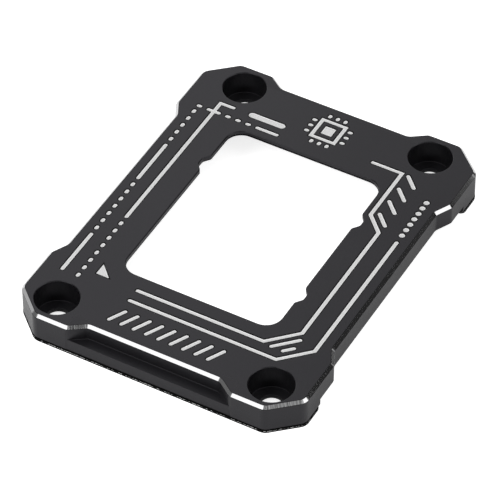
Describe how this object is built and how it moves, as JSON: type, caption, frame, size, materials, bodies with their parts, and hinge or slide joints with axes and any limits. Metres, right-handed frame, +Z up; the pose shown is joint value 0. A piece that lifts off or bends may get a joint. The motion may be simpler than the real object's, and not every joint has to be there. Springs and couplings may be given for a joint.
{
  "type": "cpu socket retention frame",
  "caption": "Flat milled metal frame that holds a processor in its socket, with a large window, counterbored screw holes at the corners and thin insulating pads under both ends.",
  "frame": {"origin": "on the plane the pads rest on, under the centre of the four screw holes and of the outline", "axes": "+X along the short front end to the right, +Y from the front end to the back end, +Z up out of the top face"},
  "size_m": [0.0542, 0.0706, 0.006],
  "materials": {
    "anodised_metal": "fine blasted, black anodised, satin",
    "bright_cut": "bare bright-cut edge",
    "engraving": "bare engraved metal, fine hatch",
    "insulating_pad": "matt black film"
  },
  "bodies": {
    "root": {"frame": "anodised_metal", "front_pad": "insulating_pad", "back_pad": "insulating_pad"}
  },
  "joints": []
}
